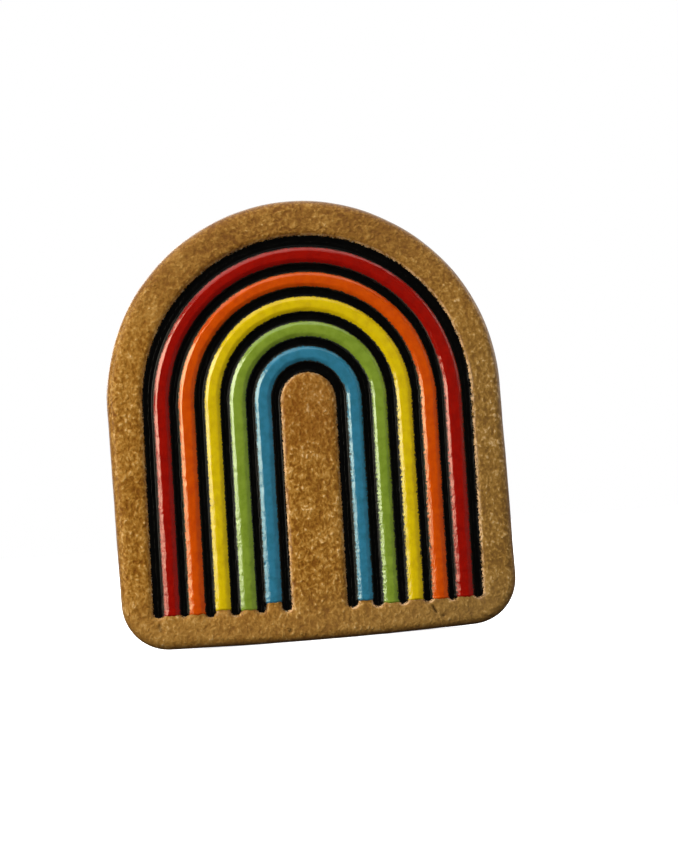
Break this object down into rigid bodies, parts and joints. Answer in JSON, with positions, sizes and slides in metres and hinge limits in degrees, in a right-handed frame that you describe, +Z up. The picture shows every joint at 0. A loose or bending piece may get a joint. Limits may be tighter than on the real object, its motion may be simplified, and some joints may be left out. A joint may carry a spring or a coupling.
{
  "type": "pin badge",
  "caption": "Arched leather pin badge with an embossed enamel rainbow, and butterfly clutches on pointed posts behind.",
  "frame": {"origin": "middle of the flat back face of the leather backing", "axes": "+Z up along the badge's height, -Y out of the painted front, +Y out of the back along the posts, +X to the right seen from the front"},
  "size_m": [0.0314, 0.0124, 0.035],
  "materials": {
    "tan_leather": "fine pebbled grain, lightly waxed, burnished edges",
    "backing_leather": "smooth flesh side, matt",
    "black_enamel": "gloss enamel paint",
    "blue_enamel": "gloss enamel paint",
    "green_enamel": "gloss enamel paint",
    "yellow_enamel": "gloss enamel paint",
    "orange_enamel": "gloss enamel paint",
    "red_enamel": "gloss enamel paint",
    "nickel_plate": "nickel plated, satin, light handling marks",
    "spring_steel": "plated spring strip, brushed"
  },
  "bodies": {
    "badge": {"leather_face": "tan_leather", "leather_backing": "backing_leather", "channel_line_1": "black_enamel", "channel_line_2": "black_enamel", "channel_line_3": "black_enamel", "channel_line_4": "black_enamel", "channel_line_5": "black_enamel", "channel_line_6": "black_enamel", "stripe_blue": "blue_enamel", "stripe_green": "green_enamel", "stripe_yellow": "yellow_enamel", "stripe_orange": "orange_enamel", "stripe_red": "red_enamel", "post_pad_left": "nickel_plate", "post_left": "nickel_plate", "post_pad_right": "nickel_plate", "post_right": "nickel_plate"},
    "clutch_left": {"clutch_plate_left": "nickel_plate"},
    "clutch_left_upper_jaw": {"clutch_jaw_upper_left": "spring_steel"},
    "clutch_left_lower_jaw": {"clutch_jaw_lower_left": "spring_steel"},
    "clutch_right": {"clutch_plate_right": "nickel_plate"},
    "clutch_right_upper_jaw": {"clutch_jaw_upper_right": "spring_steel"},
    "clutch_right_lower_jaw": {"clutch_jaw_lower_right": "spring_steel"}
  },
  "joints": [
    {"name": "clutch_left_slide", "type": "slide", "parent": "badge", "child": "clutch_left", "axis": [0, 1, 0], "range_m": [-0.002, 0.008]},
    {"name": "clutch_left_upper_pinch", "type": "slide", "parent": "clutch_left", "child": "clutch_left_upper_jaw", "axis": [0, 0, -1], "range_m": [0, 0.0005], "stiffness_N_per_m": 100, "springref_m": -0.0003},
    {"name": "clutch_left_lower_pinch", "type": "slide", "parent": "clutch_left", "child": "clutch_left_lower_jaw", "axis": [0, 0, 1], "range_m": [0, 0.0005], "stiffness_N_per_m": 100, "springref_m": -0.0003},
    {"name": "clutch_right_slide", "type": "slide", "parent": "badge", "child": "clutch_right", "axis": [0, 1, 0], "range_m": [-0.002, 0.008]},
    {"name": "clutch_right_upper_pinch", "type": "slide", "parent": "clutch_right", "child": "clutch_right_upper_jaw", "axis": [0, 0, -1], "range_m": [0, 0.0005], "stiffness_N_per_m": 100, "springref_m": -0.0003},
    {"name": "clutch_right_lower_pinch", "type": "slide", "parent": "clutch_right", "child": "clutch_right_lower_jaw", "axis": [0, 0, 1], "range_m": [0, 0.0005], "stiffness_N_per_m": 100, "springref_m": -0.0003}
  ],
  "couplings": [
    {"joint": "clutch_left_lower_pinch", "follows": "clutch_left_upper_pinch", "ratio": 1},
    {"joint": "clutch_right_lower_pinch", "follows": "clutch_right_upper_pinch", "ratio": 1}
  ]
}
